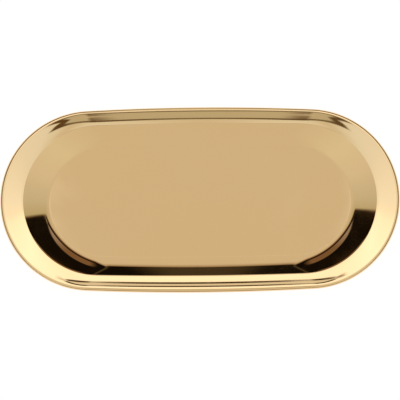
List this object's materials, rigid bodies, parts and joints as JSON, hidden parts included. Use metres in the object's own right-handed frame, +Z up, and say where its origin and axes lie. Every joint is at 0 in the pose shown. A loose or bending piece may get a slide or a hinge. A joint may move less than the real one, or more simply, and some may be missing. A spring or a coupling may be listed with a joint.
{
  "type": "tray",
  "caption": "Shallow oblong tray with round ends, a sloping wall, a wide flange and a rolled edge, pressed from one polished gold-coloured metal sheet.",
  "frame": {"origin": "centre of the flat underside, on the surface the tray stands on", "axes": "+X along the tray's length, +Y across it, +Z up, out of the open side"},
  "size_m": [0.18, 0.0844, 0.0072],
  "materials": {
    "gold_polished_steel": "mirror-polished, gold-coloured coat"
  },
  "bodies": {
    "root": {"pressed_tray": "gold_polished_steel"}
  },
  "joints": []
}
